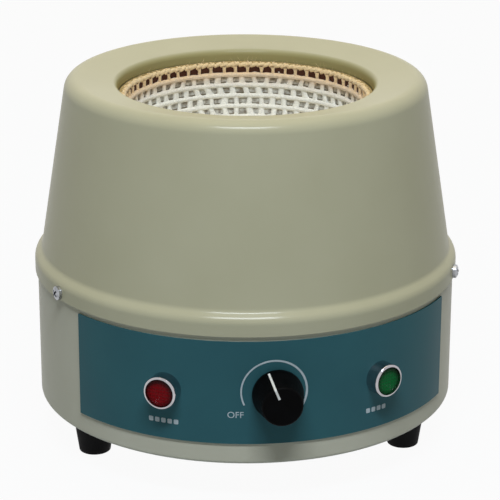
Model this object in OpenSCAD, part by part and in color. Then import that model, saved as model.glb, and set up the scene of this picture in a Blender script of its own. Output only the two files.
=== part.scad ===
// Round benchtop heating mantle for a 1000 ml round-bottomed flask.
// Frame: Z up, origin on the table under the axis, control panel centred on -Y.

/* [Housing] */
// Outer diameter of the base drum
base_d = 237; // [232:1:242]
// Height of the whole mantle above the table
total_h = 206.5; // [204:0.5:210]
// Height of the rubber feet, which is the gap under the drum
foot_h = 22.8; // [20:0.2:26]
// Height of the drum wall
drum_h = 79.8; // [78:0.2:81.8]
// Sheet thickness of the drum
drum_t = 1.2; // [1:0.1:1.5]
// Sheet thickness of the spun upper shell
shell_t = 1.5; // [1.2:0.1:1.8]
// Lean of the shell wall from the vertical, in degrees
wall_lean = 9.1; // [8.6:0.1:9.6]
// Radius of the rounded shoulder at the top of the wall
shoulder_r = 7.5; // [6:0.5:10]
// Fall of the top face towards the opening, in degrees
dish_a = 10.4; // [8:0.2:12]
// Diameter of the opening
opening_d = 143; // [142:0.5:145]

/* [Heating bowl] */
// Diameter inside the knitted bowl, for a 131 mm flask
bowl_d = 133; // [131:0.5:134]
// Height of the middle of the bowl's sphere
bowl_z = 192; // [191:0.5:192.5]
// Knitted cells around the bowl
cells = 58; // [48:1:58]
// Angle from one knitted row to the next, seen from the sphere's centre
row_a = 5.3; // [5:0.1:5.6]
// Thickness of the insulation round the bowl
wool_t = 15; // [12:1:17]

/* [Control panel] */
// Width of the panel as an angle round the drum
panel_a = 114.5; // [108:0.5:120]
// Lower edge of the panel above the table
panel_z0 = 35.2; // [34:0.2:37]
// Upper edge of the panel above the table
panel_z1 = 93.2; // [90:0.2:94]
// Height of the knob and the lamps
panel_z = 64; // [62:0.5:66]
// Angle from the knob to each lamp
lamp_a = 29; // [26:0.5:32]
// Outer diameter of the lamp collars
lamp_d = 18.2; // [17:0.2:20]
// Diameter of the knob at its foot
knob_d = 27.5; // [26:0.5:29]
// Diameter of the knob at its front
knob_front_d = 22; // [20:0.5:23]
// Length of the knob
knob_l = 18; // [16:0.5:20]
// Turn of the pointer line anticlockwise from straight up
pointer_a = 22; // [0:1:45]

/* [Feet and fasteners] */
// Radius of the circle on which the feet stand
foot_ring_r = 98; // [95:1:101]
// Turn of the three feet from the panel's centre line
foot_turn = -4.9; // [-10:0.1:10]
// Angle from that line to each front foot
foot_spread = 63.4; // [58:0.2:68]
// Diameter of a foot at the drum
foot_top_d = 24; // [21:0.5:25]
// Diameter of a foot at the table
foot_d = 17.8; // [16:0.2:20]
// Angles of the four shell screws from the panel's centre line
screw_angles = [-66, 68.5, 142, -142]; // [-180:0.5:180]

/* [Hidden] */

$fn = 96;
eps = 0.01;                        // overshoot of a cut past the face it opens
through = 40;                      // length of a drill that goes right through a wall

// Drum
base_r = base_d / 2;
drum_z1 = foot_h + drum_h;         // top edge of the drum
drum_bend_r = 2;                   // bend between the drum's wall and floor
floor_z = foot_h + drum_t;         // inside of the drum's floor
panel_t = 1;                       // thickness of the panel sheet
panel_r = base_r + panel_t;        // outer face of the panel

// Upper shell
flange_gap = 0.3;                  // fit of the shell's flange over the drum
flange_r = base_r + flange_gap + drum_t;
flange_h = 6.4;                    // upright part of the flange, which laps over the drum
flange_z0 = drum_z1 - flange_h;    // lower edge of the flange
flare_lean = 45;                   // steepest lean of the flare above the flange
flare_r = 5.6;                     // rounding from the flange into the flare
neck_r = 4;                        // hollow rounding from the flare into the wall
wall_step = 4.7;                   // how far the wall stands in from the flange
wall_r = flange_r - wall_step;     // radius of the wall where its line starts
wall_z = drum_z1 + 10.4;           // height at which the wall's line starts
opening_r = opening_d / 2;
lip_r = 3.5;                       // rounding of the lip
lip_gap = 0.2;                     // clear height between the braid and the lip

// Heating bowl
bowl_r = bowl_d / 2;
knit_t = 1.5;                      // thickness of the knitted skin
cloth_t = 2;                       // thickness of the cloth behind it
skin_gap = 0.05;                   // fit between the knitted skin and its cloth
cloth_r = bowl_r + knit_t;
wool_r = cloth_r + cloth_t;
pan_r = wool_r + wool_t;
pan_t = 1.2;
brim_r = 82;                       // rim of the cloth brim under the lip
brim_t = 1.3;                      // thickness of the cloth brim
collar_h = 2;                      // upright edge of the knitted skin above the sphere's middle
braid_r = 1.3;                     // half the thickness of the braid on the rim
braid_z = bowl_z + brim_t + braid_r;
lip_z0 = braid_z + braid_r + lip_gap;
shield_t = 1;
shield_z = drum_z1;                // the shield lies on the drum's top edge
shield_r = base_r - 0.7;
seat_r = 39;                       // ring between the shield and the pan
lead_y = 62;                       // place of the bushing for the heater leads

// Panel fittings, measured outwards from the drum's axis
knob_gap = 1;
knob_z0 = panel_r + knob_gap;
knob_z1 = knob_z0 + knob_l;
shaft_d = 6;
shaft_fit = 0.1;                   // running fit on the diameter
bushing_d = 9.5;                   // threaded bushing of the control
pot_d = 24;
pot_l = 10;
pot_face = base_r - drum_t - 0.75; // flat face of the control behind the drum wall
lamp_h = 8;                        // how far a collar stands off the panel
lamp_body_d = 11.8;
lamp_lens_d = 15.6;
lamp_face = panel_r + lamp_h;

// Mains entry at the back
gland_z = 50;
gland_d = 15;                      // thread of the gland
cable_d = 7.4;                     // bore for the cable

// Circuit board
board = [92, 58, 1.6];
board_at = [0, 12, 35];            // middle of the board's underside
board_top = board_at.z + board.z;
standoff_d = 6;
standoff_at = [board.x / 2 - 5, board.y / 2 - 5];

function arc(c, r, a0, a1, n) = [for (i = [0:n]) let (a = a0 + (a1 - a0) * i / n) c + r * [cos(a), sin(a)]];
// Middle of a circle that keeps the distance d from two lines, each given by a point and its normal.
function tangent_centre(p, a, q, b, d) =
    let (h = p * [cos(a), sin(a)] + d, k = q * [cos(b), sin(b)] + d, s = sin(b - a))
    [(h * sin(b) - k * sin(a)) / s, (k * cos(a) - h * cos(b)) / s];
function reversed(v) = [for (i = [len(v) - 1:-1:0]) v[i]];

// Outline of the upper shell, from its flange up and over to the lip, set inwards by t.
flare_c = [flange_r - flare_r, flange_z0 + flange_h];
flare_end = flare_c + flare_r * [cos(flare_lean), sin(flare_lean)];
wall_at = [wall_r, wall_z];
neck_c = tangent_centre(flare_end, flare_lean, wall_at, wall_lean, neck_r);
shoulder_z = total_h - shoulder_r;
shoulder_c = [wall_r - (shoulder_z - wall_z) * tan(wall_lean) - shoulder_r / cos(wall_lean), shoulder_z];
top_a = 90 + dish_a;
lip_c = [opening_r + lip_r,
         shoulder_z + (shoulder_r - lip_r) / cos(dish_a) - (shoulder_c.x - opening_r - lip_r) * tan(dish_a)];
function shell_path(t) = concat(
    [[flange_r - t, flange_z0]],
    arc(flare_c, flare_r - t, 0, flare_lean, 5),
    arc(neck_c, -(neck_r + t), flare_lean, wall_lean, 4),
    arc(shoulder_c, shoulder_r - t, wall_lean, top_a, 14),
    arc(lip_c, lip_r - t, top_a, 180, 12),
    [[opening_r + t, lip_z0]]);

// Puts its children on the drum: turned by the angle a, at the height z, with their +Z outwards.
module on_drum(a, z) { rotate([0, 0, a]) translate([0, 0, z]) rotate([90, 0, 0]) children(); }
module radial_hole(a, z, d) {
    on_drum(a, z) translate([0, 0, base_r - through / 2]) cylinder(d = d, h = through);
}
// Puts its children at the middle of a foot; a is counted from the feet's own centre line.
module foot_place(a) { rotate([0, 0, foot_turn + a]) translate([0, -foot_ring_r, 0]) children(); }
module foot_places() {
    for (a = [-foot_spread, foot_spread, 180]) foot_place(a) children();
}
module hex_nut(flats, bore, h) {
    difference() {
        cylinder(d = flats / cos(30), h = h, $fn = 6);
        translate([0, 0, -eps]) cylinder(d = bore, h = h + 2 * eps, $fn = 48);
    }
}
// Pan head with a cross recess on a plain shank that runs down from z = 0.
module pan_screw(d, head_d, head_h, l) {
    difference() {
        union() {
            intersection() {
                cylinder(d = head_d, h = head_h, $fn = 48);
                translate([0, 0, head_h - head_d * 0.9]) sphere(r = head_d * 0.9, $fn = 48);
            }
            translate([0, 0, -l]) cylinder(d = d, h = l + eps, $fn = 48);
        }
        for (a = [45, 135]) rotate([0, 0, a]) translate([-head_d * 0.3, -head_d * 0.07, head_h * 0.45])
            cube([head_d * 0.6, head_d * 0.14, head_h]);
    }
}

// Housing
screw_z = drum_z1 - 2.6;           // height of the screws that hold the shell
screw_d = 4;
module upper_shell() {
    color("#c2bfa6") difference() {
        rotate_extrude($fn = 180) polygon(concat(shell_path(0), reversed(shell_path(shell_t))));
        for (a = screw_angles) radial_hole(a, screw_z, screw_d + 0.4);
    }
}
vents = 12;
vent = [26, 4];
module base_drum() {
    bend = [base_r - drum_bend_r, foot_h + drum_bend_r];
    color("#a5a595") difference() {
        rotate_extrude($fn = 180) polygon(concat(
            [[0, foot_h]], arc(bend, drum_bend_r, -90, 0, 6), [[base_r, drum_z1], [base_r - drum_t, drum_z1]],
            arc(bend, drum_bend_r - drum_t, 0, -90, 6), [[0, floor_z]]));
        for (a = screw_angles) radial_hole(a, screw_z, screw_d + 0.4);
        for (s = [-1, 1]) radial_hole(s * lamp_a, panel_z, lamp_body_d + 0.4);
        radial_hole(0, panel_z, bushing_d + 0.4);
        radial_hole(180, gland_z, gland_d + 0.4);
        foot_places() translate([0, 0, foot_h - eps]) cylinder(d = screw_d + 0.4, h = drum_t * 2, $fn = 48);
        for (i = [0:vents - 1]) rotate([0, 0, (i + 0.5) * 360 / vents])
            translate([60, 0, foot_h - eps]) linear_extrude(drum_t * 2) slot(vent);
    }
}
module slot(size) {
    square([size.x - size.y, size.y], center = true);
    for (s = [-1, 1]) translate([s * (size.x - size.y) / 2, 0]) circle(d = size.y, $fn = 32);
}
module fascia_panel() {
    color("#2f5a68") difference() {
        rotate([0, 0, -90 - panel_a / 2]) rotate_extrude(angle = panel_a, $fn = 180)
            translate([base_r, panel_z0]) square([panel_t, panel_z1 - panel_z0]);
        for (s = [-1, 1]) radial_hole(s * lamp_a, panel_z, lamp_body_d + 0.4);
        radial_hole(0, panel_z, bushing_d + 0.4);
    }
}

// Lamps
lens_depth = 4.5;                  // from the collar's rim down to the seat of the lens
module lamp_bezel(a) {
    color("silver") difference() {
        on_drum(a, panel_z) translate([0, 0, panel_r - 1]) rotate_extrude() polygon(concat(
            [[lamp_body_d / 2, 0], [lamp_d / 2, 0]],
            arc([lamp_d / 2 - 1, lamp_h], 1, 0, 90, 6),
            [[lamp_lens_d / 2 + 0.1, lamp_h + 1], [lamp_lens_d / 2 + 0.1, lamp_h + 1 - lens_depth],
             [lamp_body_d / 2, lamp_h + 1 - lens_depth]]));
        translate([0, 0, panel_z - lamp_d]) cylinder(r = panel_r, h = 2 * lamp_d, $fn = 180);
    }
}
// Lens with a flat centre and a ring of flat facets.
lens_h = 3.4;
module lamp_lens(a, tint) {
    color(tint) on_drum(a, panel_z) translate([0, 0, lamp_face - lens_depth]) intersection() {
        cylinder(d = lamp_lens_d, h = lens_h, $fn = 48);
        cylinder(d1 = lamp_lens_d * 1.6, d2 = lamp_lens_d * 0.66, h = lens_h, $fn = 12);
    }
}
module lamp_body(a) {
    inner = 26;                    // how far the lamp reaches in behind the panel
    color("#202022") on_drum(a, panel_z) {
        translate([0, 0, panel_r - inner]) cylinder(d = lamp_body_d, h = inner + lamp_h - lens_depth);
        for (x = [-2.5, 2.5]) translate([x - 0.4, -1.4, panel_r - inner - 6]) cube([0.8, 2.8, 6 + eps]);
    }
}
module lamp_nut(a) {
    nut_h = 3;
    face = base_r - drum_t - 0.4;
    color("#303034") on_drum(a, panel_z) translate([0, 0, face - nut_h]) hex_nut(16, lamp_body_d, nut_h);
}
module power_lamp_bezel() { lamp_bezel(-lamp_a); }
module power_lamp_lens() { lamp_lens(-lamp_a, "#8a0a0a"); }
module power_lamp_body() { lamp_body(-lamp_a); }
module power_lamp_nut() { lamp_nut(-lamp_a); }
module heat_lamp_bezel() { lamp_bezel(lamp_a); }
module heat_lamp_lens() { lamp_lens(lamp_a, "#0a6a32"); }
module heat_lamp_body() { lamp_body(lamp_a); }
module heat_lamp_nut() { lamp_nut(lamp_a); }

// Temperature control
knob_lip = 2.2;                    // height of the knob's upright foot
knob_edge_r = 1.4;
shaft_end = knob_z1 - 4.5;
screw_at = 9;                      // set screw above the knob's foot
set_screw_d = 3;
flat_x = 2.5;                      // distance of the shaft's flat from its axis
module knob_form(inset) {
    rotate_extrude() polygon(concat(
        [[0, inset], [knob_d / 2 - inset, inset], [knob_d / 2 - inset, knob_lip]],
        arc([knob_front_d / 2 - knob_edge_r, knob_l - knob_edge_r], knob_edge_r - inset * 0.99, 14, 90, 6),
        [[0, knob_l - inset]]));
}
pointer_w = 1.2;
pointer_from = 4.7;                // start of the line, from the knob's axis
pointer_t = 0.6;                   // depth of the line's groove
module pointer_slab() {
    rotate([0, 0, 90 + pointer_a]) translate([pointer_from, -pointer_w / 2, knob_lip])
        cube([knob_d, pointer_w, knob_l]);
}
module knob() {
    nut_room = 19;
    color("#141416") on_drum(0, panel_z) translate([0, 0, knob_z0]) difference() {
        knob_form(0);
        translate([0, 0, -eps]) cylinder(d = nut_room, h = 6.5);
        translate([0, 0, -eps]) cylinder(d = shaft_d, h = shaft_end - knob_z0 + 0.5, $fn = 48);
        translate([0, 0, screw_at]) rotate([90, 0, 0]) cylinder(d = set_screw_d, h = knob_d, $fn = 32);
        intersection() {
            pointer_slab();
            difference() {
                translate([0, 0, eps]) cylinder(d = knob_d + 1, h = knob_l);
                knob_form(pointer_t);
            }
        }
    }
}
module knob_pointer() {
    color("white") on_drum(0, panel_z) translate([0, 0, knob_z0]) intersection() {
        pointer_slab();
        difference() {
            knob_form(0);
            knob_form(pointer_t);
        }
    }
}
module knob_set_screw() {
    color("#8a8a8e") on_drum(0, panel_z) translate([0, 0, knob_z0 + screw_at]) rotate([90, 0, 0])
        difference() {
            translate([0, 0, flat_x]) cylinder(d = set_screw_d, h = 7, $fn = 32);
            translate([-set_screw_d / 2, -0.25, flat_x + 6]) cube([set_screw_d, 0.5, 2]);
        }
}
module control_shaft() {
    shaft_z0 = pot_face - pot_l + 2;
    color("#b8b8bc") on_drum(0, panel_z) difference() {
        translate([0, 0, shaft_z0]) cylinder(d = shaft_d, h = shaft_end - shaft_z0, $fn = 48);
        translate([-shaft_d, -flat_x - shaft_d, shaft_end - 11]) cube([2 * shaft_d, shaft_d, 12]);
    }
}
nut_h = 2.4;
module control_body() {
    color("#707478") on_drum(0, panel_z) difference() {
        union() {
            translate([0, 0, pot_face - pot_l]) cylinder(d = pot_d, h = pot_l);
            translate([0, 0, pot_face - eps]) cylinder(d = bushing_d, h = panel_r + 5.5 - pot_face, $fn = 48);
            for (x = [-5, 0, 5]) translate([x - 1, -pot_d / 2 - 6, pot_face - 4]) cube([2, 10, 0.8]);
        }
        translate([0, 0, pot_face - pot_l + 1.5]) cylinder(d = shaft_d + shaft_fit, h = through, $fn = 48);
    }
}
module control_nut() {
    color("#c8c8cc") on_drum(0, panel_z) translate([0, 0, panel_r]) {
        hex_nut(14, bushing_d, nut_h);
    }
}

// Feet and screws
foot_hole = [9.6, 13];             // diameter and depth of the screw recess
foot_edge_r = 1;                   // rounding at the table
module foot(a) {
    color("#18181a") foot_place(a) difference() {
        rotate_extrude($fn = 64) polygon(concat([[0, 0]],
            arc([foot_d / 2 - foot_edge_r, foot_edge_r], foot_edge_r, -90, 0, 4),
            [[foot_top_d / 2, foot_h], [0, foot_h]]));
        translate([0, 0, -eps]) cylinder(d = foot_hole.x, h = foot_hole.y + eps, $fn = 48);
        cylinder(d = screw_d, h = foot_h + 1, $fn = 48);
    }
}
module foot_left() { foot(-foot_spread); }
module foot_right() { foot(foot_spread); }
module foot_rear() { foot(180); }
module foot_screws() {
    color("silver") foot_places() translate([0, 0, foot_hole.y]) mirror([0, 0, 1])
        pan_screw(screw_d, 7.8, 2.8, floor_z + 5 - foot_hole.y);
}
module foot_nuts() {
    color("silver") foot_places() translate([0, 0, floor_z]) hex_nut(7, screw_d, 3.2);
}
module shell_screws() {
    color("#c4c4c6") for (a = screw_angles) on_drum(a, screw_z) translate([0, 0, flange_r])
        pan_screw(screw_d, 7.6, 2.9, 11);
}
module shell_clip_nuts() {
    color("#9a9a9c") for (a = screw_angles) on_drum(a, screw_z)
        translate([0, 0, base_r - drum_t - 3.1]) difference() {
            translate([-4.5, -5.4, 0]) cube([9, 7.6, 3]);
            translate([0, 0, -eps]) cylinder(d = screw_d, h = 4, $fn = 48);
        }
}

// Heating bowl
bowl_c = [0, bowl_z];
ridge_r = 0.7;
gap = [3.7, 2.9];                  // width and height of an open cell
rows = 16;
module bowl_band(r0, r1, z1) {
    difference() {
        circle(r = r1, $fn = 180);
        circle(r = r0, $fn = 180);
        translate([-2 * r1, z1]) square([4 * r1, 2 * r1]);
        translate([-2 * r1, -2 * r1]) square([2 * r1, 4 * r1]);
    }
}
module heating_weave() {
    skin_r = cloth_r - skin_gap;
    color("#fbfaf0") difference() {
        rotate_extrude($fn = 180) translate(bowl_c) {
            bowl_band(bowl_r + ridge_r / 2, skin_r, 0);
            translate([bowl_r + ridge_r / 2, 0]) square([skin_r - bowl_r - ridge_r / 2, collar_h]);
            for (k = [0:rows - 1]) rotate([0, 0, -row_a * (k + 0.5)])
                translate([bowl_r + ridge_r, 0]) circle(r = ridge_r, $fn = 24);
        }
        for (k = [0, 1], i = [0:cells - 1]) rotate([0, 0, (i + k / 2) * 360 / cells])
            translate([bowl_r - 3, -gap.x / 2, bowl_z - bowl_r * sin(row_a * k) - gap.y / 2])
                cube([8, gap.x, gap.y]);
    }
}
module heater_cloth() {
    color("#efeee2") rotate_extrude($fn = 180) {
        translate(bowl_c) bowl_band(cloth_r, wool_r, 0);
        translate([cloth_r, bowl_z]) square([brim_r - cloth_r, brim_t]);
    }
}
module weave_edge() {
    color("#e0c48c") rotate_extrude($fn = 180)
        translate([cloth_r + braid_r, braid_z]) circle(r = braid_r, $fn = 32);
}
module insulation() {
    color("#f2efe0") rotate_extrude($fn = 120) translate(bowl_c) bowl_band(wool_r, pan_r, 0);
}
module insulation_pan() {
    color("#b0b0b0") rotate_extrude($fn = 120) translate(bowl_c) {
        bowl_band(pan_r, pan_r + pan_t, -3);
        translate([sqrt(pow(pan_r + pan_t, 2) - 9) - 0.3, -3 - pan_t]) square([6, pan_t]);
    }
}
module pan_support() {
    color("#a8a8a8") difference() {
        translate([0, 0, shield_z + shield_t]) difference() {
            cylinder(r = seat_r, h = 30);
            translate([0, 0, -eps]) cylinder(r = seat_r - 1.2, h = 31);
        }
        translate([0, 0, bowl_z]) sphere(r = pan_r + pan_t, $fn = 120);
    }
}
module heat_shield() {
    color("#b8b8b4") translate([0, 0, shield_z]) difference() {
        cylinder(r = shield_r, h = shield_t, $fn = 180);
        translate([0, lead_y, -eps]) cylinder(d = 10, h = shield_t * 2, $fn = 48);
    }
}
module lead_bushing() {
    color("#f4f0e4") translate([0, lead_y, shield_z]) difference() {
        union() {
            translate([0, 0, -5]) cylinder(d = 10, h = 8, $fn = 48);
            translate([0, 0, shield_t]) cylinder(d = 14, h = 2, $fn = 48);
        }
        for (s = [-1, 1]) translate([s * 2.3, 0, -6]) cylinder(d = 2, h = 12, $fn = 32);
    }
}

// Regulator board
module board_corners() {
    for (x = [-1, 1], y = [-1, 1])
        translate([board_at.x + x * standoff_at.x, board_at.y + y * standoff_at.y, 0]) children();
}
module on_board(x, y) { translate([board_at.x + x, board_at.y + y, board_top]) children(); }
module circuit_board() {
    color("#b98a3c") difference() {
        translate([board_at.x - board.x / 2, board_at.y - board.y / 2, board_at.z]) cube(board);
        board_corners() translate([0, 0, board_at.z - eps]) cylinder(d = 3.2, h = 3, $fn = 32);
    }
}
module board_standoffs() {
    color("#c9a94e") board_corners() difference() {
        translate([0, 0, floor_z]) cylinder(d = standoff_d, h = board_at.z - floor_z, $fn = 48);
        translate([0, 0, board_at.z - 6]) cylinder(d = 3, h = 7, $fn = 32);
    }
}
module board_screws() {
    color("silver") board_corners() translate([0, 0, board_top]) pan_screw(3, 5.6, 2, 6.5);
}
fin_t = 1.6;
sink = [34, 16, 26];
sink_at = [-14, 16];
module heat_sink() {
    color("#c6c8cb") on_board(sink_at.x, sink_at.y) translate([-sink.x / 2, -sink.y / 2, 0]) {
        cube([sink.x, 3, sink.z]);
        for (i = [0:6]) translate([i * (sink.x - fin_t) / 6, 0, 0]) cube([fin_t, sink.y, sink.z]);
    }
}
module triac() {
    color("#1c1c1e") on_board(sink_at.x, sink_at.y - sink.y / 2) {
        translate([-5, -4.5, 4]) cube([10, 4.5, 9]);
        translate([-5, -1.2, 13]) cube([10, 1.2, 6]);
        for (x = [-2.5, 0, 2.5]) translate([x - 0.4, -2.6, 0]) cube([0.8, 0.5, 4 + eps]);
    }
}
module capacitor() {
    color("#b5331f") on_board(22, 14) translate([-9, -4, 0]) cube([18, 8, 14]);
}
module choke() {
    color("#a85f26") on_board(14, -4) translate([0, 0, 4]) rotate_extrude($fn = 72)
        translate([8, 0]) circle(r = 4, $fn = 36);
}
fuse_at = [-22, -10];
fuse_d = 5.2;
fuse_l = 20;
fuse_z = 6;                        // height of the fuse's axis above the board
module fuse() {
    color("#e4ecec") on_board(fuse_at.x, fuse_at.y) translate([-fuse_l / 2, 0, fuse_z]) rotate([0, 90, 0])
        cylinder(d = fuse_d, h = fuse_l, $fn = 48);
}
module fuse_clips() {
    color("#cdb25a") on_board(fuse_at.x, fuse_at.y) for (s = [-1, 1]) difference() {
        translate([s * 7 - 2.5, -3.6, 0]) cube([5, 7.2, 8]);
        translate([s * 7 - 3, 0, fuse_z]) rotate([0, 90, 0]) cylinder(d = fuse_d, h = 6, $fn = 48);
        translate([s * 7 - 3, -1.8, fuse_z]) cube([6, 3.6, 3]);
    }
}
ways = 4;
way = 8;
module terminal_block() {
    color("#2c6b3a") on_board(0, -22.5) difference() {
        translate([-ways * way / 2, -4.5, 0]) cube([ways * way, 9, 11]);
        for (i = [0:ways - 1]) translate([(i + 0.5 - ways / 2) * way, 0, 0]) {
            translate([0, 0, 6]) cylinder(d = 5, h = 6, $fn = 32);
            translate([-2, -6, 1.5]) cube([4, 4, 4]);
        }
    }
}
module terminal_screws() {
    color("silver") on_board(0, -22.5) for (i = [0:ways - 1]) translate([(i + 0.5 - ways / 2) * way, 0, 6])
        difference() {
            cylinder(d = 4.6, h = 3, $fn = 32);
            translate([-3, -0.4, 2.2]) cube([6, 0.8, 2]);
        }
}

// Mains entry and earth
gland_hex = 19;
module gland_body() {
    color("#1e1e20") on_drum(180, gland_z) difference() {
        union() {
            translate([0, 0, base_r]) cylinder(d = gland_hex / cos(30), h = 5, $fn = 6);
            translate([0, 0, base_r - 9]) cylinder(d = gland_d, h = 19, $fn = 72);
        }
        translate([0, 0, base_r - 10]) cylinder(d = cable_d, h = 16, $fn = 72);
        translate([0, 0, base_r + 5]) cylinder(d = 11, h = 6, $fn = 72);
        difference() {
            translate([0, 0, base_r - 0.5]) cylinder(d = 40, h = 0.5);
            translate([0, 0, base_r - 1]) cylinder(d = gland_d, h = 2, $fn = 72);
        }
    }
}
module gland_seal() {
    color("#3a3a3c") on_drum(180, gland_z) translate([0, 0, base_r + 5]) difference() {
        cylinder(d = 11, h = 7, $fn = 72);
        translate([0, 0, -eps]) cylinder(d = cable_d, h = 8, $fn = 72);
    }
}
module gland_nut() {
    color("#1e1e20") on_drum(180, gland_z) translate([0, 0, base_r + 5]) difference() {
        union() {
            cylinder(d = gland_hex / cos(30), h = 7, $fn = 6);
            rotate_extrude() polygon(concat([[0, 7 - eps], [gland_hex / 2, 7 - eps]],
                arc([gland_hex / 2 - 6, 9], 6, 0, 90, 8), [[0, 15]]));
        }
        translate([0, 0, -eps]) cylinder(d = gland_d, h = 5 + eps, $fn = 72);
        translate([0, 0, 4]) cylinder(d = 11, h = 3, $fn = 72);
        cylinder(d = cable_d, h = 20, $fn = 72);
    }
}
module gland_lock_nut() {
    color("#2a2a2c") on_drum(180, gland_z) translate([0, 0, base_r - drum_t - 4.55])
        hex_nut(gland_hex, gland_d, 4);
}
earth_at = [-74, 30];
module earth_stud() {
    color("#c9a94e") translate([earth_at.x, earth_at.y, floor_z]) {
        cylinder(d = 4, h = 14, $fn = 48);
        cylinder(d = 8, h = 1, $fn = 48);
    }
}
module earth_nut() {
    color("#c9a94e") translate([earth_at.x, earth_at.y, floor_z + 1]) hex_nut(7, 4, 3.2);
}

upper_shell();
base_drum();
fascia_panel();
power_lamp_bezel();
power_lamp_lens();
power_lamp_body();
power_lamp_nut();
heat_lamp_bezel();
heat_lamp_lens();
heat_lamp_body();
heat_lamp_nut();
knob();
knob_pointer();
knob_set_screw();
control_shaft();
control_body();
control_nut();
foot_left();
foot_right();
foot_rear();
foot_screws();
foot_nuts();
shell_screws();
shell_clip_nuts();
heating_weave();
heater_cloth();
weave_edge();
insulation();
insulation_pan();
pan_support();
heat_shield();
lead_bushing();
circuit_board();
board_standoffs();
board_screws();
triac();
heat_sink();
capacitor();
choke();
fuse();
fuse_clips();
terminal_block();
terminal_screws();
gland_body();
gland_nut();
gland_seal();
gland_lock_nut();
earth_stud();
earth_nut();
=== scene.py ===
import math
import random

import bpy
from mathutils import Matrix, Quaternion, Vector


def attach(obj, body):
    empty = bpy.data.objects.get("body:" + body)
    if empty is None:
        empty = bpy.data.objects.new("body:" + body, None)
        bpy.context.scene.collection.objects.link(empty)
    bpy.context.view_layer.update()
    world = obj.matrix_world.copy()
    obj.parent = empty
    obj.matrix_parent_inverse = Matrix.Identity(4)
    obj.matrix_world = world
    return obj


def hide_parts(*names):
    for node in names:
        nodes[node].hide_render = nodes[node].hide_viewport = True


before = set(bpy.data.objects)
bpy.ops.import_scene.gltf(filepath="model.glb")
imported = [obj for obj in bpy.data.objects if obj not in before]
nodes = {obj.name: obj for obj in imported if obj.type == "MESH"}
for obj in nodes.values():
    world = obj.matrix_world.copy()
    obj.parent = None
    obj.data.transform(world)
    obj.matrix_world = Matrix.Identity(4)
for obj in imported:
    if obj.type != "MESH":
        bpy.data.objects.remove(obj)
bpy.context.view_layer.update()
mm = 0.001
print("frame loaded")

# The camera stands left of the front and looks down at the bowl.
cameraView = {
    "place": (-0.1626, -1.1326, 0.5015), "target": (0.00257, -0.00037, 0.1026), "roll": 0.174,
    "lens": 152.2, "sensor": 36, "nearest": 0.05,
}
bpy.ops.object.camera_add(location=cameraView["place"])
camera = bpy.context.object
camera.name = "camera"
camera.rotation_mode = "QUATERNION"
lookAlong = Vector(cameraView["target"]) - Vector(cameraView["place"])
roll = Quaternion((0, 0, 1), math.radians(cameraView["roll"]))
camera.rotation_quaternion = lookAlong.to_track_quat("-Z", "Y") @ roll
camera.data.lens = cameraView["lens"]
camera.data.sensor_width = cameraView["sensor"]
camera.data.clip_start = cameraView["nearest"]
bpy.context.scene.camera = camera


def linear(hexColour):  # sRGB hex to linear red, green, blue and alpha
    parts = [int(hexColour[i:i + 2], 16) / 255 for i in (0, 2, 4)]
    return [p / 12.92 if p <= 0.04045 else ((p + 0.055) / 1.055) ** 2.4 for p in parts] + [1]


# Adds a node. inputs gives each socket a value, or the socket that it is linked to.
# stops are a colour ramp's: (place from 0 to 1, hex colour).
def addNode(tree, kind, inputs=None, stops=(), **settings):
    made = tree.nodes.new("ShaderNode" + kind)
    for name, value in settings.items():
        setattr(made, name, value)
    for socket, value in (inputs or {}).items():
        if isinstance(value, bpy.types.NodeSocket):
            tree.links.new(value, made.inputs[socket])
        else:
            made.inputs[socket].default_value = value
    if stops:
        elements = made.color_ramp.elements
        while len(elements) < len(stops):
            elements.new(0.5)
        for element, (at, hexColour) in zip(elements, stops):
            element.position = at
            element.color = linear(hexColour)
    return made


def newMaterial(name, constants):  # constants: sockets with one value all over the surface
    material = bpy.data.materials.new(name)
    material.use_nodes = True
    tree = material.node_tree
    shader = tree.nodes["Principled BSDF"]
    for socket, value in constants.items():
        shader.inputs[socket].default_value = value
    place = addNode(tree, "TexCoord").outputs["Object"]
    return material, tree, shader, place


# One finish: two near colours that drift over the piece, a roughness that drifts with them, and a fine grain.
# drift, grain and relief are in mm, and stretch is how much longer the grain is along X, Y and Z.
# sockets are other values of the shader.
driftSpan = (0.3, 0.7)  # the cloud's values at the dark and the light colour


def makeFinish(name, light, dark, drift, rough, grain, relief, stretch=(1, 1, 1), metallic=0.0, sockets={}):
    material, tree, shader, place = newMaterial(name, {"Metallic": metallic, **sockets})
    cloud = addNode(tree, "TexNoise", {"Vector": place, "Scale": 1 / (drift * mm), "Detail": 4.0}).outputs["Fac"]
    tint = addNode(tree, "ValToRGB", {"Fac": cloud}, stops=list(zip(driftSpan, (dark, light))))
    tree.links.new(tint.outputs["Color"], shader.inputs["Base Color"])
    gloss = addNode(tree, "MapRange", {
        "Value": cloud, "From Min": driftSpan[0], "From Max": driftSpan[1], "To Min": rough[0], "To Max": rough[1]})
    tree.links.new(gloss.outputs["Result"], shader.inputs["Roughness"])
    drawn = addNode(tree, "Mapping", {"Vector": place, "Scale": [1 / s for s in stretch]}).outputs["Vector"]
    grains = addNode(tree, "TexNoise", {"Vector": drawn, "Scale": 1 / (grain * mm), "Detail": 2.0})
    bump = addNode(tree, "Bump", {"Height": grains.outputs["Fac"], "Distance": relief * mm, "Strength": 1.0})
    tree.links.new(bump.outputs["Normal"], shader.inputs["Normal"])
    return material


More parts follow.
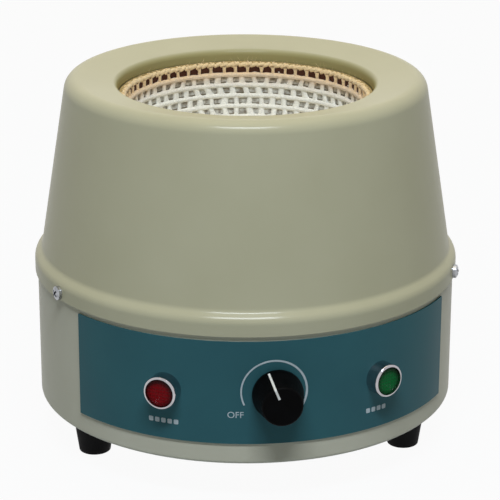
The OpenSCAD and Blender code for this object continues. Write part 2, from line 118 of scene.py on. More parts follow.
finishes = {
    # polyester powder coat, sprayed and baked: a soft gloss over a fine orange peel of 1 to 2 mm waves
    "shellPowderCoat": dict(
        light="c5c1a3", dark="bfbb9c", drift=60, rough=(0.5, 0.56), grain=1.6, relief=0.012,
        sockets={"Specular IOR Level": 0.03, "Coat Weight": 0.35, "Coat Roughness": 0.18}),
    # the same powder coat on the drum, a shade greyer
    "drumPowderCoat": dict(
        light="d4d1bd", dark="cecbb6", drift=50, rough=(0.5, 0.56), grain=1.6, relief=0.012,
        sockets={"Specular IOR Level": 0.03, "Coat Weight": 0.22, "Coat Roughness": 0.14}),
    # screen-printed enamel on sheet steel: deep blue green, smooth, with a low even sheen
    "panelEnamel": dict(
        light="35656c", dark="305e66", drift=45, rough=(0.42, 0.5), grain=1.2, relief=0.006,
        sockets={"Specular IOR Level": 0.12}),
    # white screen ink, thin enough for the blue under it to dull it, and matt
    "screenInk": dict(light="c6d2d6", dark="b2c0c6", drift=2, rough=(0.5, 0.6), grain=0.2, relief=0.004),
    # bright chrome plate on turned brass: mirror bright, turning lines hardly show
    "chromePlate": dict(
        light="bebbbe", dark="a3a1a5", drift=8, rough=(0.07, 0.13), grain=0.3, relief=0.002,
        metallic=1.0),
    # moulded phenolic knob: near black, with a dull sheen
    "phenolic": dict(
        light="060607", dark="030303", drift=6, rough=(0.42, 0.5), grain=0.5, relief=0.006,
        sockets={"Specular IOR Level": 0.03}),
    # white paint filled into a moulded groove
    "grooveFill": dict(light="f2f2ee", dark="e0e0da", drift=3, rough=(0.45, 0.55), grain=0.3, relief=0.01),
    # moulded nylon: black, dull
    "blackNylon": dict(light="232326", dark="1b1b1d", drift=5, rough=(0.45, 0.55), grain=0.4, relief=0.01),
    # moulded rubber: near black, matt
    "footRubber": dict(
        light="111112", dark="09090a", drift=7, rough=(0.62, 0.75), grain=0.5, relief=0.02,
        sockets={"Specular IOR Level": 0.1}),
    # bright zinc plate on steel: cool grey, with small changes of gloss
    "zincPlate": dict(
        light="b6b8bc", dark="8b8d91", drift=2.5, rough=(0.22, 0.36), grain=0.3, relief=0.004,
        metallic=1.0),
    # hot-dip galvanised sheet: dull silver spangle of 5 to 8 mm
    "galvanisedSheet": dict(
        light="c2c6c8", dark="9ea2a5", drift=6, rough=(0.34, 0.5), grain=1.2, relief=0.006,
        metallic=1.0),
    # turned and lacquered brass: warm yellow, fine turning lines
    "turnedBrass": dict(
        light="dcc07a", dark="c6a55c", drift=4, rough=(0.24, 0.34), grain=0.3, relief=0.003,
        stretch=(6, 6, 1), metallic=1.0),
    # extruded aluminium, etched: pale grey, drawn along the fins
    "extrudedAluminium": dict(
        light="d3d5d7", dark="bcbec1", drift=5, rough=(0.32, 0.42), grain=0.4, relief=0.005,
        stretch=(1, 1, 12), metallic=1.0),
    # enamelled copper wire, wound close: glossy red brown
    "magnetWire": dict(
        light="b4622c", dark="8f4519", drift=3, rough=(0.22, 0.32), grain=0.6, relief=0.08,
        stretch=(1, 1, 9), metallic=0.6),
    # paper and phenolic board: yellow brown, dull
    "boardResin": dict(
        light="bd9044", dark="ad8038", drift=4, rough=(0.42, 0.55), grain=0.4, relief=0.008,
        stretch=(8, 1, 1)),
    # dipped epoxy: brick red, glossy
    "dippedEpoxy": dict(light="b7361f", dark="a52c18", drift=4, rough=(0.2, 0.3), grain=1.0, relief=0.02),
    # moulded polyamide terminal block: green, dull
    "terminalPolyamide": dict(
        light="2f7440", dark="286636", drift=4, rough=(0.42, 0.52), grain=0.4, relief=0.01),
    # steatite: creamy white fired ceramic, slightly grainy
    "steatite": dict(light="f3eee0", dark="e6e0cf", drift=3, rough=(0.4, 0.5), grain=0.5, relief=0.02),
    # packed glass wool: yellowish white fibres that lie along the bowl
    "glassWool": dict(
        light="f0e6bd", dark="d9cb96", drift=4, rough=(0.85, 0.95), grain=0.9, relief=0.3,
        stretch=(5, 5, 1)),
    # woven glass cloth, turned up at the rim and scorched there: dull olive brown
    "rollCloth": dict(
        light="b8a06a", dark="8a7648", drift=2.2, rough=(0.8, 0.9), grain=0.8, relief=0.15,
        stretch=(3, 3, 1)),
    # plain woven glass cloth: off-white, threads about 0.8 mm apart
    "glassCloth": dict(
        light="f0eee2", dark="d6d2c2", drift=1.6, rough=(0.75, 0.85), grain=0.8, relief=0.12,
        stretch=(3, 3, 1)),
}
materials = {name: makeFinish(name, **values) for name, values in finishes.items()}

# The powder coat inside the lip is painted darker and olive brown: painted shade on the lip's inner wall, where
# little light falls.
paintedLipShade = {"colour": "a39c6c", "clear": 74.0, "full": 71.8}  # clear, full: distances from the axis in mm


def paintLipShade(material):
    tree = material.node_tree
    coatColour = tree.nodes["Principled BSDF"].inputs["Base Color"]
    place = addNode(tree, "TexCoord").outputs["Object"]
    flat = addNode(tree, "VectorMath", {0: place, 1: (1, 1, 0)}, operation="MULTIPLY").outputs["Vector"]
    fromAxis = addNode(tree, "VectorMath", {0: flat}, operation="LENGTH").outputs["Value"]
    lipShadeShare = addNode(tree, "MapRange", {
        "Value": fromAxis, "From Min": paintedLipShade["clear"] * mm, "From Max": paintedLipShade["full"] * mm})
    tint = addNode(tree, "Mix", {
        "Factor": lipShadeShare.outputs["Result"], "A": coatColour.links[0].from_socket,
        "B": linear(paintedLipShade["colour"])}, data_type="RGBA")
    tree.links.new(tint.outputs["Result"], coatColour)


# paints the shade inside the lip
paintLipShade(materials["shellPowderCoat"])

wornBy = {
    "shellPowderCoat": ["upper_shell"],
    "drumPowderCoat": ["base_drum"],
    "panelEnamel": ["fascia_panel"],
    "chromePlate": ["power_lamp_bezel", "heat_lamp_bezel"],
    "phenolic": ["knob"],
    "grooveFill": ["knob_pointer"],
    "blackNylon": [
        "power_lamp_body", "power_lamp_nut", "heat_lamp_body", "heat_lamp_nut", "triac",
        "gland_body", "gland_nut", "gland_lock_nut"],
    "footRubber": ["foot_left", "foot_right", "foot_rear", "gland_seal"],
    "zincPlate": [
        "knob_set_screw", "control_shaft", "control_nut", "foot_screws", "foot_nuts",
        "shell_screws", "board_screws", "terminal_screws"],
    "galvanisedSheet": ["control_body", "shell_clip_nuts", "insulation_pan", "pan_support", "heat_shield"],
    "turnedBrass": ["board_standoffs", "fuse_clips", "earth_stud", "earth_nut"],
    "extrudedAluminium": ["heat_sink"],
    "magnetWire": ["choke"],
    "boardResin": ["circuit_board"],
    "dippedEpoxy": ["capacitor"],
    "terminalPolyamide": ["terminal_block"],
    "steatite": ["lead_bushing"],
    "glassWool": ["insulation"],
    "glassCloth": ["heater_cloth"],
    "fuseGlass": ["fuse"],
}


# Indicator lens of dyed polycarbonate with a soft gloss, painted lighter in its heart and darker at its edge: a
# painted glow, and painted shade under the bezel's rim. Places and reaches in mm.
lensColourAndLight = {
    "redLens": {"edge": "160001", "heart": "80000a", "centre": (-62, -110, 63)},
    "greenLens": {"edge": "01140a", "heart": "0a6c33", "centre": (62, -110, 63)},
}
lensGlow = {"heart": 1.5, "edge": 8, "level": 0.45}  # reaches from the centre, and where the heart's colour ends


def lensPlastic(name, edge, heart, centre):
    material, tree, shader, place = newMaterial(name, {
        "Roughness": 0.3, "IOR": 1.585, "Transmission Weight": 0.1, "Specular IOR Level": 0.02})
    middle = [c * mm for c in centre]
    reach = addNode(tree, "VectorMath", {0: place, 1: middle}, operation="DISTANCE").outputs["Value"]
    share = addNode(tree, "MapRange", {
        "Value": reach, "From Min": lensGlow["heart"] * mm, "From Max": lensGlow["edge"] * mm})
    # painted glow in the heart, painted shade towards the edge
    stops = [(0.0, heart), (lensGlow["level"], heart), (1.0, edge)]
    colourAndLight = addNode(tree, "ValToRGB", {"Fac": share.outputs["Result"]}, stops=stops)
    tree.links.new(colourAndLight.outputs["Color"], shader.inputs["Base Color"])
    return material


# Fuse tube of clear glass: faint green, polished. The tints drift over 4 mm.
tubeGlass = {"light": "eef6f3", "dark": "dfeae6", "drift": 4}


def fuseGlass():
    material, tree, shader, place = newMaterial("fuseGlass", {
        "Roughness": 0.05, "IOR": 1.5, "Transmission Weight": 0.9})
    cloud = addNode(tree, "TexNoise", {"Vector": place, "Scale": 1 / (tubeGlass["drift"] * mm)}).outputs["Fac"]
    stops = list(zip(driftSpan, (tubeGlass["dark"], tubeGlass["light"])))
    tint = addNode(tree, "ValToRGB", {"Fac": cloud}, stops=stops)
    tree.links.new(tint.outputs["Color"], shader.inputs["Base Color"])
    return material


# Knitted glass yarn: white and matt with a soft sheen, browned by heat in its top rows.
# The filaments are 9 microns; the bundles are drawn 1.1 mm apart, so that they show.
yarnTint = {
    "browned": ["ffe3b0", "fbd9a6", "f8dfc2", "fbf0de", "fffdf2"],  # from the rim down
    "heights": [0.1955, 0.1915, 0.1885, 0.1855, 0.1815],  # of those colours, in m
    "wander": 2.2, "lump": 5,  # how far and how coarsely the browned edge wanders, in mm
    "bundle": 1.1, "drawn": 2.5, "relief": 0.25,  # spacing of the bundles, their squeeze along Z, their depth
    "gaps": (0.34, 0.6), "gapShade": 0.78,  # the pattern's values in and out of a gap, and how dark a gap is
    # dark brown patches, painted shade on the lining: their colour, their size in mm, and the span of the pattern
    "shadeAndSoot": "6b5c44", "shadeAndSootPatch": 2.4, "shadeAndSootSpan": (0.4, 0.68),
}


# shade darkens the whole yarn: painted shade. The other number sets how strong its dark brown patches are, painted
# shade where the lining lies deep in the cells.
def glassYarn(name, shade, shadeAndSoot):
    material, tree, shader, place = newMaterial(name, {
        "Roughness": 0.72, "Sheen Weight": 0.5, "Sheen Roughness": 0.5})
    height = addNode(tree, "SeparateXYZ", {"Vector": place}).outputs["Z"]
    lump = addNode(tree, "TexNoise", {"Vector": place, "Scale": 1 / (yarnTint["lump"] * mm), "Detail": 3.0})
    wander = addNode(tree, "MapRange", {
        "Value": lump.outputs["Fac"], "To Min": -yarnTint["wander"] * mm, "To Max": yarnTint["wander"] * mm})
    level = addNode(tree, "Math", {0: height, 1: wander.outputs["Result"]}, operation="ADD").outputs["Value"]
    top, bottom = yarnTint["heights"][0], yarnTint["heights"][-1]
    share = addNode(tree, "MapRange", {"Value": level, "From Min": bottom, "From Max": top}).outputs["Result"]
    stops = [((h - bottom) / (top - bottom), c) for h, c in zip(yarnTint["heights"], yarnTint["browned"])]
    tint = addNode(tree, "ValToRGB", {"Fac": share}, stops=sorted(stops)).outputs["Color"]
    strand = addNode(tree, "Mapping", {"Vector": place, "Scale": (1, 1, yarnTint["drawn"])}).outputs["Vector"]
    bundles = addNode(tree, "TexNoise", {
        "Vector": strand, "Scale": 1 / (yarnTint["bundle"] * mm), "Detail": 3.0, "Distortion": 0.6}).outputs["Fac"]
    depth = addNode(tree, "MapRange", {
        "Value": bundles, "From Min": yarnTint["gaps"][0], "From Max": yarnTint["gaps"][1],
        "To Min": yarnTint["gapShade"] * shade, "To Max": shade}).outputs["Result"]
    toned = addNode(tree, "Mix", {"Factor": 1.0, "A": tint, "B": depth}, data_type="RGBA", blend_type="MULTIPLY")
    # dark brown patches mixed in: painted shade where they are strong
    patch = addNode(tree, "TexNoise", {"Vector": place, "Scale": 1 / (yarnTint["shadeAndSootPatch"] * mm), "Detail": 2.0})
    shadeAndSootShare = addNode(tree, "MapRange", {
        "Value": patch.outputs["Fac"], "From Min": yarnTint["shadeAndSootSpan"][0], "From Max": yarnTint["shadeAndSootSpan"][1],
        "To Max": shadeAndSoot}).outputs["Result"]
    shadeAndSootMixed = addNode(tree, "Mix", {
        "Factor": shadeAndSootShare, "A": toned.outputs["Result"], "B": linear(yarnTint["shadeAndSoot"])}, data_type="RGBA")
    tree.links.new(shadeAndSootMixed.outputs["Result"], shader.inputs["Base Color"])
    bump = addNode(tree, "Bump", {"Height": bundles, "Distance": yarnTint["relief"] * mm, "Strength": 0.9})
    tree.links.new(bump.outputs["Normal"], shader.inputs["Normal"])
    return material


# Painted shade deep in the open cells: dark brown under the rim, grey lower down, mottled.
# from and to are the heights between which one turns into the other, in m, and patch is in mm.
cellShadeTint = {"rim": "4a2004", "below": "8a8068", "from": 0.184, "to": 0.189, "patch": 0.8}


def paintedCellShade():
    material, tree, shader, place = newMaterial("paintedCellShade", {"Roughness": 0.9})
    height = addNode(tree, "SeparateXYZ", {"Vector": place}).outputs["Z"]
    share = addNode(tree, "MapRange", {
        "Value": height, "From Min": cellShadeTint["from"], "From Max": cellShadeTint["to"]}).outputs["Result"]
    tint = addNode(tree, "ValToRGB", {"Fac": share}, stops=[(0.0, cellShadeTint["below"]), (1.0, cellShadeTint["rim"])])
    shadeAndSoot = addNode(tree, "TexNoise", {"Vector": place, "Scale": 1 / (cellShadeTint["patch"] * mm)}).outputs["Fac"]
    toned = addNode(tree, "Mix", {
        "Factor": 0.5, "A": tint.outputs["Color"], "B": shadeAndSoot}, data_type="RGBA", blend_type="MULTIPLY")
    tree.links.new(toned.outputs["Result"], shader.inputs["Base Color"])
    return material


for name, values in lensColourAndLight.items():
    materials[name] = lensPlastic(name, **values)
materials["fuseGlass"] = fuseGlass()
materials["knitYarn"] = glassYarn("knitYarn", 1.0, 0.03)
# the lining: the same yarn painted darker and patchier, as painted shade in the cells
materials["liningYarn"] = glassYarn("liningYarn", 0.7, 0.8)
# painted shade for the faces deep in the cells
materials["paintedCellShade"] = paintedCellShade()
for name, worn in wornBy.items():
    for node in worn:
        for slot in nodes[node].material_slots:
            slot.material = materials[name]
print("finishes given to the frame's parts")


def startClean():  # nothing selected, so an operator acts on the new shape alone
    bpy.ops.object.select_all(action="DESELECT")


def newPiece(name, material):  # names the new shape and gives it its finish
    piece = bpy.context.object
    piece.name = piece.data.name = name
    piece.data.materials.clear()
    piece.data.materials.append(material)
    return piece


def settle(piece):  # place, turn and scale go into the mesh
    startClean()
    piece.select_set(True)
    bpy.context.view_layer.objects.active = piece
    bpy.ops.object.transform_apply(location=True, rotation=True, scale=True)


def pick(piece, kind, wanted):  # enters edit mode with the wanted faces or vertices selected
    bpy.context.view_layer.objects.active = piece
    if bpy.context.mode != "EDIT_MESH":
        bpy.ops.object.mode_set(mode="EDIT")
    bpy.ops.mesh.select_mode(type=kind)
    bpy.ops.mesh.select_all(action="DESELECT")
    bpy.ops.object.mode_set(mode="OBJECT")
    for part in piece.data.polygons if kind == "FACE" else piece.data.vertices:
        part.select = wanted(part)
    bpy.ops.object.mode_set(mode="EDIT")


def applied(piece, kind, **settings):  # adds a modifier and applies it
    bpy.context.view_layer.objects.active = piece
    modifier = piece.modifiers.new(kind.lower(), kind)
    for name, value in settings.items():
        setattr(modifier, name, value)
    bpy.ops.object.modifier_apply(modifier=modifier.name)


def copyOf(piece, matrix):  # a copy with its own mesh, moved by the matrix
    twin = piece.copy()
    twin.data = piece.data.copy()
    twin.data.transform(matrix)
    bpy.context.scene.collection.objects.link(twin)
    return twin


def joined(parts, name):  # makes the parts one piece
    startClean()
    for part in parts:
        part.select_set(True)
    bpy.context.view_layer.objects.active = parts[0]
    bpy.ops.object.join()
    parts[0].name = parts[0].data.name = name
    return parts[0]


def seenDirectly(tree):  # 1 where the camera, metal or glass shows the background, 0 for its light
    ray = addNode(tree, "LightPath").outputs
    seen = addNode(tree, "Math", {0: ray["Is Camera Ray"], 1: ray["Is Glossy Ray"]}, operation="MAXIMUM")
    seen = addNode(tree, "Math", {0: seen.outputs["Value"], 1: ray["Is Transmission Ray"]}, operation="MAXIMUM")
    return seen.outputs["Value"]


# Floor and room are white where they are seen, and the floor keeps a faint shadow.
# Their light on the piece comes from the paper's and the room's own colours.
studio = {"floorSize": 9, "paper": "aeb8c2", "glow": 0.95, "room": "524c3b"}
startClean()
bpy.ops.mesh.primitive_plane_add(size=studio["floorSize"])
floor = bpy.context.object
floor.name = "floor"
floorCoat = bpy.data.materials.new("floorCoat")
floorCoat.use_nodes = True
tree = floorCoat.node_tree
tree.nodes.remove(tree.nodes["Principled BSDF"])
paper = addNode(tree, "BsdfDiffuse", {"Color": linear(studio["paper"])}).outputs["BSDF"]
glow = addNode(tree, "Emission", {"Color": (1, 1, 1, 1), "Strength": 1.0}).outputs["Emission"]
share = addNode(tree, "Math", {0: seenDirectly(tree), 1: studio["glow"]}, operation="MULTIPLY").outputs["Value"]
mixed = addNode(tree, "MixShader", {"Fac": share, 1: paper, 2: glow}).outputs["Shader"]
tree.links.new(mixed, tree.nodes["Material Output"].inputs["Surface"])
floor.data.materials.append(floorCoat)

scene = bpy.context.scene
scene.view_settings.view_transform = "Standard"
scene.world = bpy.data.worlds.new("room")
scene.world.use_nodes = True
tree = scene.world.node_tree
room = tree.nodes["Background"]
wall = addNode(tree, "Mix", {
    "Factor": seenDirectly(tree), "A": linear(studio["room"]), "B": (1, 1, 1, 1)}, data_type="RGBA")
tree.links.new(wall.outputs["Result"], room.inputs["Color"])
room.inputs["Strength"].default_value = 1.0

# shine says whether the lamp is mirrored in the piece; the rear one only lights it.
lamps = {
    "softboxOverhead": {
        "place": (0.05, 0.1, 1.5), "aim": (0, 0, 0.15), "size": (1.1, 1.0),
        "power": 5.0, "colour": "ffeec4", "shine": True},
    "softboxRear": {
        "place": (0.15, 1.5, 1.0), "aim": (0, 0, 0.12), "size": (0.9, 0.5),
        "power": 6.5, "colour": "fff2dc", "shine": False},
    "softboxFront": {
        "place": (-0.15, -1.02, 1.72), "aim": (0, 0, 0.12), "size": (0.9, 0.24),
        "power": 27, "colour": "e4edf8", "shine": True},
}
for name, values in lamps.items():
    bpy.ops.object.light_add(type="AREA", location=values["place"])
    lamp = bpy.context.object
    lamp.name = name
    lamp.data.shape = "RECTANGLE"
    lamp.data.size, lamp.data.size_y = values["size"]
    lamp.data.energy = values["power"]
    lamp.data.color = linear(values["colour"])[:3]
    lamp.visible_glossy = values["shine"]
    aim = Vector(values["aim"]) - Vector(values["place"])
    lamp.rotation_euler = aim.to_track_quat("-Z", "Y").to_euler()
print("camera, floor and lamps in place")

# The knitted heating bowl: rows of cells between cords, with upright posts of yarn, over a lining.
knit = {
    "centre": 192, "rows": 17, "rowAngle": 180 / 34, "stitches": 58,
    "cordPath": 67.0, "cordRadius": 1.45, "cordSides": 8,
    "postPath": 67.1, "postSize": (2.0, 3.3), "waist": 1.2, "endSpread": 1.5, "endShift": 0.25,
    "lean": 5, "strayLean": 13, "strayAround": 0.008, "postWidth": (0.8, 1.25),
    "topRow": {"turn": 0.012, "width": 0.55, "length": 0.86},  # its posts are thin, upright and short
    "sphere": 67, "lining": [67.6, 67.8, 67.9, 67.7, 67.3, 67.4],  # radius at six heights, from mid cell down
    "collarHeight": 2.6, "lumpSize": 2.1, "wobble": 1.25,
}
bowlCentre = Vector((0, 0, knit["centre"] * mm))
rings = len(knit["lining"])
rowStep = math.radians(knit["rowAngle"])
ringStep = rowStep / rings
near = 0.1 * mm  # points closer than this lie in one plane
chance = random.Random(11)  # the seed keeps every run the same
yarnLumps = bpy.data.textures.new("yarnLumps", "CLOUDS")
yarnLumps.noise_scale = knit["lumpSize"] * mm


def softened(piece, wobble):  # yarn is lumpy and has no hard edges
    applied(piece, "DISPLACE", texture=yarnLumps, texture_coords="LOCAL", strength=wobble * mm, mid_level=0.5)
    startClean()
    piece.select_set(True)
    bpy.ops.object.shade_smooth()


def turnBelowRim(point):  # angle down from the rim, seen from the middle of the bowl's sphere
    return math.atan2(bowlCentre.z - point.z, math.hypot(point.x, point.y))


def onBowl(around, turn, radius):  # X out through the bowl, Y along the row, Z up the bowl
    return (Matrix.Translation(bowlCentre) @ Matrix.Rotation(around, 4, "Z") @ Matrix.Rotation(turn, 4, "Y")
            @ Matrix.Translation((radius * mm, 0, 0)))


# The lining is the lower half of a sphere with six rings of faces to a row.
# Every row leans back behind the cord below it, so the cells are deepest at their lower edge.
startClean()
bpy.ops.mesh.primitive_uv_sphere_add(
    segments=2 * knit["stitches"], ring_count=2 * knit["rows"] * rings, radius=knit["sphere"] * mm,
    location=bowlCentre)
lining = newPiece("bowlLining", materials["liningYarn"])
lining.data.materials.append(materials["paintedCellShade"])
settle(lining)
pick(lining, "VERT", lambda v: v.co.z > bowlCentre.z + near)
bpy.ops.mesh.delete(type="VERT")
for ring, radius in enumerate(knit["lining"]):
    pick(lining, "VERT", lambda v: round(turnBelowRim(v.co) / ringStep) % rings == ring)
    size = radius / knit["sphere"]
    bpy.ops.transform.resize(value=(size, size, size), center_override=bowlCentre)
pick(lining, "VERT", lambda v: v.co.z > bowlCentre.z - near)
bpy.ops.mesh.extrude_region_move(TRANSFORM_OT_translate={"value": (0, 0, knit["collarHeight"] * mm)})


def deepInCell(face):  # the second ring of every row, and all above it in the top row
    turn = turnBelowRim(face.center) / ringStep
    return turn < 2 or 1 < turn % rings < 2


# the faces deep in the cells take the second material: painted shade
pick(lining, "FACE", deepInCell)
lining.active_material_index = 1
bpy.ops.object.material_slot_assign()
bpy.ops.object.mode_set(mode="OBJECT")

bowlParts = [lining]
for row in range(knit["rows"]):  # one cord below each row of cells
    turn = rowStep * (row + 0.5)
    startClean()
    bpy.ops.mesh.primitive_torus_add(
        location=(0, 0, bowlCentre.z - knit["cordPath"] * math.sin(turn) * mm),
        major_radius=knit["cordPath"] * math.cos(turn) * mm, minor_radius=knit["cordRadius"] * mm,
        major_segments=max(18, 4 * round(knit["stitches"] * math.cos(turn))), minor_segments=knit["cordSides"])
    cord = newPiece("cord", materials["knitYarn"])
    settle(cord)
    bowlParts.append(cord)

# A post is a short flattened cord, wider where it is caught in the rows above and below it.
# It starts 1 mm thick, so postSize is its thickness in mm.
startClean()
bpy.ops.mesh.primitive_cylinder_add(
    vertices=knit["cordSides"], radius=0.5 * mm, depth=rowStep * knit["postPath"] * mm,
    end_fill_type="NOTHING")
post = newPiece("post", materials["knitYarn"])
settle(post)
pick(post, "VERT", lambda v: True)
bpy.ops.transform.resize(value=(*knit["postSize"], 1), center_override=(0, 0, 0))
pick(post, "FACE", lambda f: True)
bpy.ops.mesh.bisect(plane_co=(0, 0, knit["waist"] * mm), plane_no=(0, 0, 1))
bpy.ops.mesh.select_all(action="SELECT")
bpy.ops.mesh.bisect(plane_co=(0, 0, -knit["waist"] * mm), plane_no=(0, 0, 1))
for end in (1, -1):
    pick(post, "VERT", lambda v: v.co.z * end > knit["waist"] * mm + near)
    bpy.ops.transform.resize(value=(1, knit["endSpread"], 1), center_override=(0, 0, 0))
    bpy.ops.transform.translate(value=(0, end * knit["endShift"] * mm, 0))
bpy.ops.object.mode_set(mode="OBJECT")

posts = []
topRow = knit["topRow"]
for row in range(knit["rows"]):
    turn = rowStep * row if row else topRow["turn"]
    count = max(6, round(knit["stitches"] * math.cos(turn)))
    for i in range(count):
        stray = chance.uniform(-knit["strayAround"], knit["strayAround"])
        around = 2 * math.pi * (i + row % 2 / 2) / count + stray
        lean, width, length = 0, topRow["width"], topRow["length"]
        if row:  # the rows lean left and right in turn
            stray = chance.uniform(-knit["strayLean"], knit["strayLean"])
            lean = math.radians(knit["lean"] * (1 if row % 2 else -1) + stray)
            width, length = chance.uniform(*knit["postWidth"]), 1
        shape = Matrix.Rotation(lean, 4, "X") @ Matrix.Diagonal((1, width, length, 1))
        posts.append(copyOf(post, onBowl(around, turn, knit["postPath"]) @ shape))
bpy.data.objects.remove(post)
bowl = joined(bowlParts + posts, "knitted_bowl")
softened(bowl, knit["wobble"])
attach(bowl, "housing")
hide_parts("heating_weave")
print("knitted bowl made,", len(bowl.data.polygons), "faces")

# The braid round the rim: slanting strands side by side, with a loop of yarn over every second one.
braid = {
    "path": 68.2, "height": 194.6, "strands": 116, "length": 4.2, "radius": 1.15, "sides": 8, "slant": 20,
    "endInset": 0.35, "endReach": 1.22, "belly": 1.12, "bellyShift": 0.12,
    "strayAround": 0.12, "straySlant": 6, "strayRise": 0.15,
    "loopRadius": 1.1, "loopYarn": 0.42, "loopOut": 0.3, "loopUp": 0.7, "loopTurn": 0.3, "loopSize": (0.82, 1.08),
    "rollPath": 70.2, "rollHeight": 194.9, "rollRadius": 1.35, "wobble": 0.5,
}
startClean()
bpy.ops.mesh.primitive_cylinder_add(
    vertices=braid["sides"], radius=braid["radius"] * mm, depth=braid["length"] * mm)
strand = newPiece("strand", materials["knitYarn"])
settle(strand)
pick(strand, "FACE", lambda f: abs(f.normal.z) > 0.9)
bpy.ops.mesh.inset(thickness=braid["endInset"] * mm)
bpy.ops.transform.resize(value=(1, 1, braid["endReach"]), center_override=(0, 0, 0))
pick(strand, "FACE", lambda f: True)
bpy.ops.mesh.bisect(plane_co=(0, 0, 0), plane_no=(0, 0, 1))
pick(strand, "VERT", lambda v: abs(v.co.z) < near)
bpy.ops.transform.resize(value=(braid["belly"], braid["belly"], 1), center_override=(0, 0, 0))
bpy.ops.transform.translate(value=(braid["bellyShift"] * mm, 0, 0))
bpy.ops.object.mode_set(mode="OBJECT")
startClean()
bpy.ops.mesh.primitive_torus_add(
    major_radius=braid["loopRadius"] * mm, minor_radius=braid["loopYarn"] * mm,
    major_segments=12, minor_segments=5)
loop = newPiece("loop", materials["knitYarn"])
loop.rotation_euler = (math.pi / 2, 0, 0)
settle(loop)

startClean()
bpy.ops.mesh.primitive_torus_add(
    location=(0, 0, braid["rollHeight"] * mm), major_radius=braid["rollPath"] * mm,
    minor_radius=braid["rollRadius"] * mm, major_segments=2 * braid["strands"], minor_segments=10)
roll = newPiece("clothRoll", materials["rollCloth"])  # the cloth turned up between the braid and the lip
settle(roll)

braidParts = []
loopPlace = Matrix.Translation((braid["loopOut"] * mm, 0, braid["loopUp"] * mm))
for i in range(braid["strands"]):
    around = 2 * math.pi * (i + chance.uniform(-braid["strayAround"], braid["strayAround"])) / braid["strands"]
    slant = math.radians(90 - braid["slant"] + chance.uniform(-braid["straySlant"], braid["straySlant"]))
    rise = braid["height"] - knit["centre"] + chance.uniform(-braid["strayRise"], braid["strayRise"])
    at = Matrix.Translation(bowlCentre) @ Matrix.Rotation(around, 4, "Z")
    at = at @ Matrix.Translation((braid["path"] * mm, 0, rise * mm))
    braidParts.append(copyOf(strand, at @ Matrix.Rotation(slant, 4, "X")))
    if i % 2 == 0:
        size = Matrix.Scale(chance.uniform(*braid["loopSize"]), 4)
        turn = Matrix.Rotation(chance.uniform(-braid["loopTurn"], braid["loopTurn"]), 4, "Z")
        braidParts.append(copyOf(loop, at @ loopPlace @ turn @ size))
bpy.data.objects.remove(strand)
bpy.data.objects.remove(loop)
rim = joined([roll] + braidParts, "rim_braid")
softened(rim, braid["wobble"])
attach(rim, "housing")
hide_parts("weave_edge")
print("braid round the rim made,", len(rim.data.polygons), "faces")

# Stray glass fibres stand out of the braid: thin bent hairs, drawn thicker than real ones so that they show.
fibres = {
    "count": 460, "length": 5.0, "radius": 0.08, "tip": 0.4, "cuts": (0.3, 0.65),
    "bends": ((0.5, 0.5), (0.9, 0.9)),  # above that share of the length, moved aside by so many mm
    "path": (67.6, 69.6), "height": (194.2, 195.8), "inwards": (-1.3, 0.25), "sideways": 0.9, "size": (0.4, 0.9),
}
startClean()
bpy.ops.mesh.primitive_cone_add(
    vertices=3, radius1=fibres["radius"] * mm, radius2=fibres["radius"] * fibres["tip"] * mm,
    depth=fibres["length"] * mm)
fibre = newPiece("fibre", materials["knitYarn"])
fibre.location.z = fibres["length"] / 2 * mm
settle(fibre)
for level in fibres["cuts"]:
    pick(fibre, "FACE", lambda f: True)
    bpy.ops.mesh.bisect(plane_co=(0, 0, fibres["length"] * level * mm), plane_no=(0, 0, 1))
for level, bend in fibres["bends"]:
    pick(fibre, "VERT", lambda v: v.co.z > fibres["length"] * level * mm)
    bpy.ops.transform.translate(value=(bend * mm, 0, 0))
bpy.ops.object.mode_set(mode="OBJECT")
hairs = []
for i in range(fibres["count"]):
    around = chance.uniform(0, 2 * math.pi)
    path, height = chance.uniform(*fibres["path"]), chance.uniform(*fibres["height"])
    at = Matrix.Rotation(around, 4, "Z") @ Matrix.Translation((path * mm, 0, height * mm))
    inwards = Matrix.Rotation(chance.uniform(*fibres["inwards"]), 4, "Y")
    tip = inwards @ Matrix.Rotation(chance.uniform(-fibres["sideways"], fibres["sideways"]), 4, "X")
    spin = Matrix.Rotation(chance.uniform(0, 6.28), 4, "Z")
    size = Matrix.Scale(chance.uniform(*fibres["size"]), 4)
    hairs.append(copyOf(fibre, at @ tip @ spin @ size))
bpy.data.objects.remove(fibre)
stray = joined(hairs, "stray_fibres")
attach(stray, "housing")
print("stray fibres made,", len(stray.data.polygons), "faces")

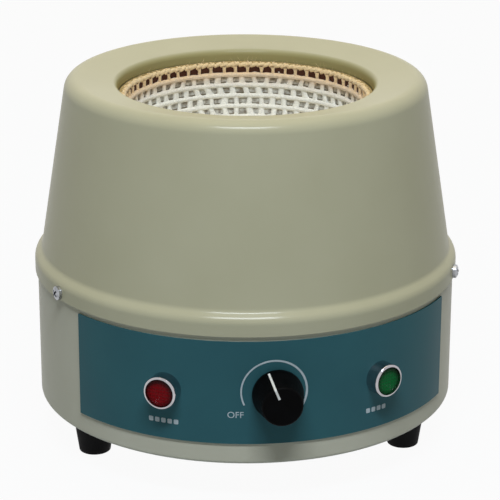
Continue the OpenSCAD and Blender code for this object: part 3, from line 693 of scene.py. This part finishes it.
# A lamp's moulded lens with rows of small pyramids, cut round.
lens = {
    "radius": 7.78, "thick": 2.6, "seat": 123.0, "facets": 9, "peak": 0.35, "span": 17,
    "angle": 29, "height": 64, "cutter": 12,
}
for side, name, finish in ((-1, "power_lamp_lens", "redLens"), (1, "heat_lamp_lens", "greenLens")):
    startClean()
    bpy.ops.mesh.primitive_grid_add(
        x_subdivisions=lens["facets"], y_subdivisions=lens["facets"], size=lens["span"] * mm)
    face = newPiece(name + "_facets", materials[finish])
    face.location.z = lens["thick"] * mm
    settle(face)
    pick(face, "FACE", lambda f: True)
    bpy.ops.mesh.extrude_region_move(TRANSFORM_OT_translate={"value": (0, 0, -lens["thick"] * mm)})
    bpy.ops.mesh.select_all(action="SELECT")
    bpy.ops.mesh.normals_make_consistent(inside=False)
    pick(face, "FACE", lambda f: f.center.z > lens["thick"] * mm - near)
    bpy.ops.mesh.poke(offset=lens["peak"] * mm)
    bpy.ops.object.mode_set(mode="OBJECT")
    startClean()
    bpy.ops.mesh.primitive_cylinder_add(vertices=64, radius=lens["radius"] * mm, depth=lens["cutter"] * mm)
    cutter = bpy.context.object
    applied(face, "BOOLEAN", object=cutter, operation="INTERSECT", solver="EXACT")
    bpy.data.objects.remove(cutter)
    face.rotation_euler = (math.pi / 2, 0, 0)
    face.location = (0, -lens["seat"] * mm, lens["height"] * mm)
    settle(face)
    face.rotation_euler = (0, 0, math.radians(side * lens["angle"]))
    settle(face)
    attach(face, "housing")
    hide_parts(name)
print("lamp lenses made")

# The screen print: flat ink shapes, laid on the curved panel and given a film's thickness.
# outside is in m, in front of the panel, and the other lengths are in mm.
panelPrint = {"axisHeight": 64, "lift": 0.06, "film": 0.05, "outside": 0.130}


def printed(piece, name, around=0):  # laid on the panel from the front, then turned round the drum to its place
    settle(piece)
    applied(piece, "SHRINKWRAP", target=nodes["fascia_panel"], wrap_method="PROJECT",
            use_project_x=False, use_project_y=True, use_positive_direction=True,
            use_negative_direction=False, offset=panelPrint["lift"] * mm)
    applied(piece, "SOLIDIFY", thickness=panelPrint["film"] * mm, offset=0)
    piece.rotation_euler = (0, 0, math.radians(around))
    settle(piece)
    piece.name = piece.data.name = name
    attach(piece, "housing")


# The heat scale: an arc that grows from a thin end at OFF to a broad end at full heat.
# mean is its breadth, growth the shift of its inner edge, and low the degrees below the middle at which it ends.
heatScale = {"radius": 18.0, "mean": 1.0, "growth": 0.15, "centre": (-1.5, 1.0), "low": 32, "turn": 4.8}
startClean()
bpy.ops.mesh.primitive_circle_add(vertices=120, radius=heatScale["radius"] * mm, fill_type="NOTHING")
arc = newPiece("heat_scale", materials["screenInk"])
pick(arc, "VERT", lambda v: v.co.y < -heatScale["radius"] * math.sin(math.radians(heatScale["low"])) * mm)
bpy.ops.mesh.delete(type="VERT")
pick(arc, "VERT", lambda v: True)
bpy.ops.mesh.extrude_region()
inner = (heatScale["radius"] - heatScale["mean"]) / heatScale["radius"]
bpy.ops.transform.resize(value=(inner, inner, 1), center_override=(0, 0, 0))
bpy.ops.transform.translate(value=(-heatScale["growth"] * mm, 0, 0))
bpy.ops.object.mode_set(mode="OBJECT")
arc.rotation_euler = (math.pi / 2, math.radians(heatScale["turn"]), 0)
arc.location = (
    heatScale["centre"][0] * mm, -panelPrint["outside"],
    (panelPrint["axisHeight"] + heatScale["centre"][1]) * mm)
printed(arc, "heat_scale")

offMark = {"text": "OFF", "size": 5.0, "at": (-22, -12.2)}
startClean()
bpy.ops.object.text_add()
word = bpy.context.object
word.data.body = offMark["text"]
word.data.size = offMark["size"] * mm
word.data.align_x = "CENTER"
word.data.align_y = "CENTER"
bpy.ops.object.convert(target="MESH")
word = newPiece("off_mark", materials["screenInk"])
word.rotation_euler = (math.pi / 2, 0, 0)
word.location = (
    offMark["at"][0] * mm, -panelPrint["outside"], (panelPrint["axisHeight"] + offMark["at"][1]) * mm)
printed(word, "off_mark")

# A row of small bars under each lamp. around is in degrees from the panel's middle.
lampMarks = {
    "power_lamp_mark": {"around": -29.5, "bars": 5, "height": 45.4},
    "heat_lamp_mark": {"around": 28, "bars": 4, "height": 46},
}
barShape = {"width": 2.6, "tall": 2.7, "pitch": 3.6, "corner": 0.6}
for name, values in lampMarks.items():
    bars = []
    for i in range(values["bars"]):
        startClean()
        bpy.ops.mesh.primitive_plane_add(size=1)
        bar = newPiece("bar", materials["screenInk"])
        bar.scale = (barShape["width"] * mm, barShape["tall"] * mm, 1)
        bar.location.x = (i - (values["bars"] - 1) / 2) * barShape["pitch"] * mm
        settle(bar)
        pick(bar, "VERT", lambda v: True)
        bpy.ops.mesh.bevel(offset=barShape["corner"] * mm, segments=3, affect="VERTICES")
        bpy.ops.object.mode_set(mode="OBJECT")
        bars.append(bar)
    row = joined(bars, name)
    row.rotation_euler = (math.pi / 2, 0, 0)
    row.location = (0, -panelPrint["outside"], values["height"] * mm)
    printed(row, name, values["around"])
print("screen print laid on the panel")
